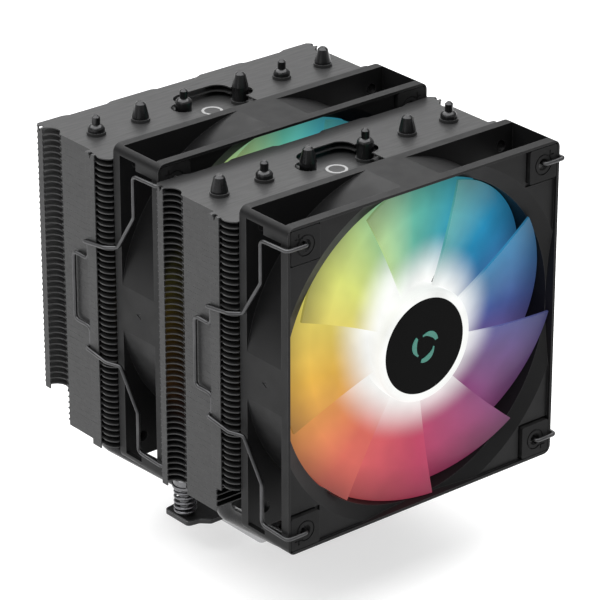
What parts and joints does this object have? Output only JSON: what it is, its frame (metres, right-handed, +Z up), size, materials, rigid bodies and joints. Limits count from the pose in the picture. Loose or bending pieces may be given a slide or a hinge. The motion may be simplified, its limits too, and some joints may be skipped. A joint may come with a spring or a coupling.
{
  "type": "cpu tower cooler",
  "caption": "Twin-tower processor cooler with U-shaped heat pipes through stacked fins, lit axial fans held by wire clips, and a sprung crossbar that clamps it to the socket",
  "frame": {"origin": "centre of the flat face that presses on the processor", "axes": "+Z up along the towers away from the processor, +X along the width, +Y the way the air flows, from the front fan to the rear tower"},
  "size_m": [0.1292, 0.1383, 0.157],
  "materials": {
    "block_aluminium": "milled bare aluminium",
    "bracket_coating": "satin black coated steel",
    "pipe_coating": "glossy black plated copper pipe",
    "fin_coating": "satin dark grey coated aluminium sheet",
    "clip_wire": "bright spring wire",
    "frame_plastic": "fine textured black plastic",
    "pad_rubber": "soft matt rubber",
    "blade_plastic": "frosted translucent plastic, lit from the hub",
    "cap_plastic": "gloss black plastic disc",
    "motor_steel": "plain steel",
    "magnet_ferrite": "bonded ferrite",
    "washer_plastic": "natural nylon",
    "bearing_bronze": "oiled sintered bronze",
    "coil_copper": "enamelled copper winding",
    "board_laminate": "dark solder mask",
    "led_lens": "clear resin over white LED",
    "label_film": "printed film without text",
    "screw_steel": "nickel plated steel",
    "spring_steel": "plain spring steel"
  },
  "bodies": {
    "root": {"base_block": "block_aluminium", "crossbar": "bracket_coating", "crossbar_screws": "screw_steel", "front_bearing": "bearing_bronze", "front_circuit_board": "board_laminate", "front_coils": "coil_copper", "front_corner_pads": "pad_rubber", "front_fan_clip_left": "clip_wire", "front_fan_clip_right": "clip_wire", "front_fan_frame": "frame_plastic", "front_fin_stack": "fin_coating", "front_leds": "led_lens", "front_motor_label": "label_film", "front_stator_core": "motor_steel", "front_top_fins": "fin_coating", "heat_pipe_1": "pipe_coating", "heat_pipe_2": "pipe_coating", "heat_pipe_3": "pipe_coating", "heat_pipe_4": "pipe_coating", "heat_pipe_5": "pipe_coating", "heat_pipe_6": "pipe_coating", "left_screw_spring": "spring_steel", "middle_bearing": "bearing_bronze", "middle_circuit_board": "board_laminate", "middle_coils": "coil_copper", "middle_corner_pads": "pad_rubber", "middle_fan_clip_left": "clip_wire", "middle_fan_clip_right": "clip_wire", "middle_fan_frame": "frame_plastic", "middle_leds": "led_lens", "middle_motor_label": "label_film", "middle_stator_core": "motor_steel", "rear_fin_stack": "fin_coating", "rear_top_fins": "fin_coating", "right_screw_spring": "spring_steel"},
    "front_rotor": {"front_impeller": "blade_plastic", "front_hub_cap": "cap_plastic", "front_rotor_yoke": "motor_steel", "front_ring_magnet": "magnet_ferrite", "front_shaft": "motor_steel", "front_shaft_clip": "washer_plastic"},
    "middle_rotor": {"middle_impeller": "blade_plastic", "middle_hub_cap": "cap_plastic", "middle_rotor_yoke": "motor_steel", "middle_ring_magnet": "magnet_ferrite", "middle_shaft": "motor_steel", "middle_shaft_clip": "washer_plastic"},
    "left_cup": {"left_spring_cup": "screw_steel"},
    "left_screw": {"left_spring_screw": "screw_steel", "left_screw_clip": "spring_steel"},
    "right_cup": {"right_spring_cup": "screw_steel"},
    "right_screw": {"right_spring_screw": "screw_steel", "right_screw_clip": "spring_steel"}
  },
  "joints": [
    {"name": "front_rotor_spin", "type": "hinge", "parent": "root", "child": "front_rotor", "pos_m": [0, -0.0685, 0.0955], "axis": [0, -1, 0], "continuous": true},
    {"name": "middle_rotor_spin", "type": "hinge", "parent": "root", "child": "middle_rotor", "pos_m": [0, 0, 0.0955], "axis": [0, -1, 0], "continuous": true},
    {"name": "left_screw_press", "type": "slide", "parent": "root", "child": "left_cup", "axis": [0, 0, -1], "range_m": [0, 0.004], "stiffness_N_per_m": 12000, "deforming": ["left_screw_spring"]},
    {"name": "left_screw_turn", "type": "hinge", "parent": "left_cup", "child": "left_screw", "pos_m": [-0.041, 0, 0.0242], "axis": [0, 0, 1], "continuous": true},
    {"name": "right_screw_press", "type": "slide", "parent": "root", "child": "right_cup", "axis": [0, 0, -1], "range_m": [0, 0.004], "stiffness_N_per_m": 12000, "deforming": ["right_screw_spring"]},
    {"name": "right_screw_turn", "type": "hinge", "parent": "right_cup", "child": "right_screw", "pos_m": [0.041, 0, 0.0242], "axis": [0, 0, 1], "continuous": true}
  ]
}
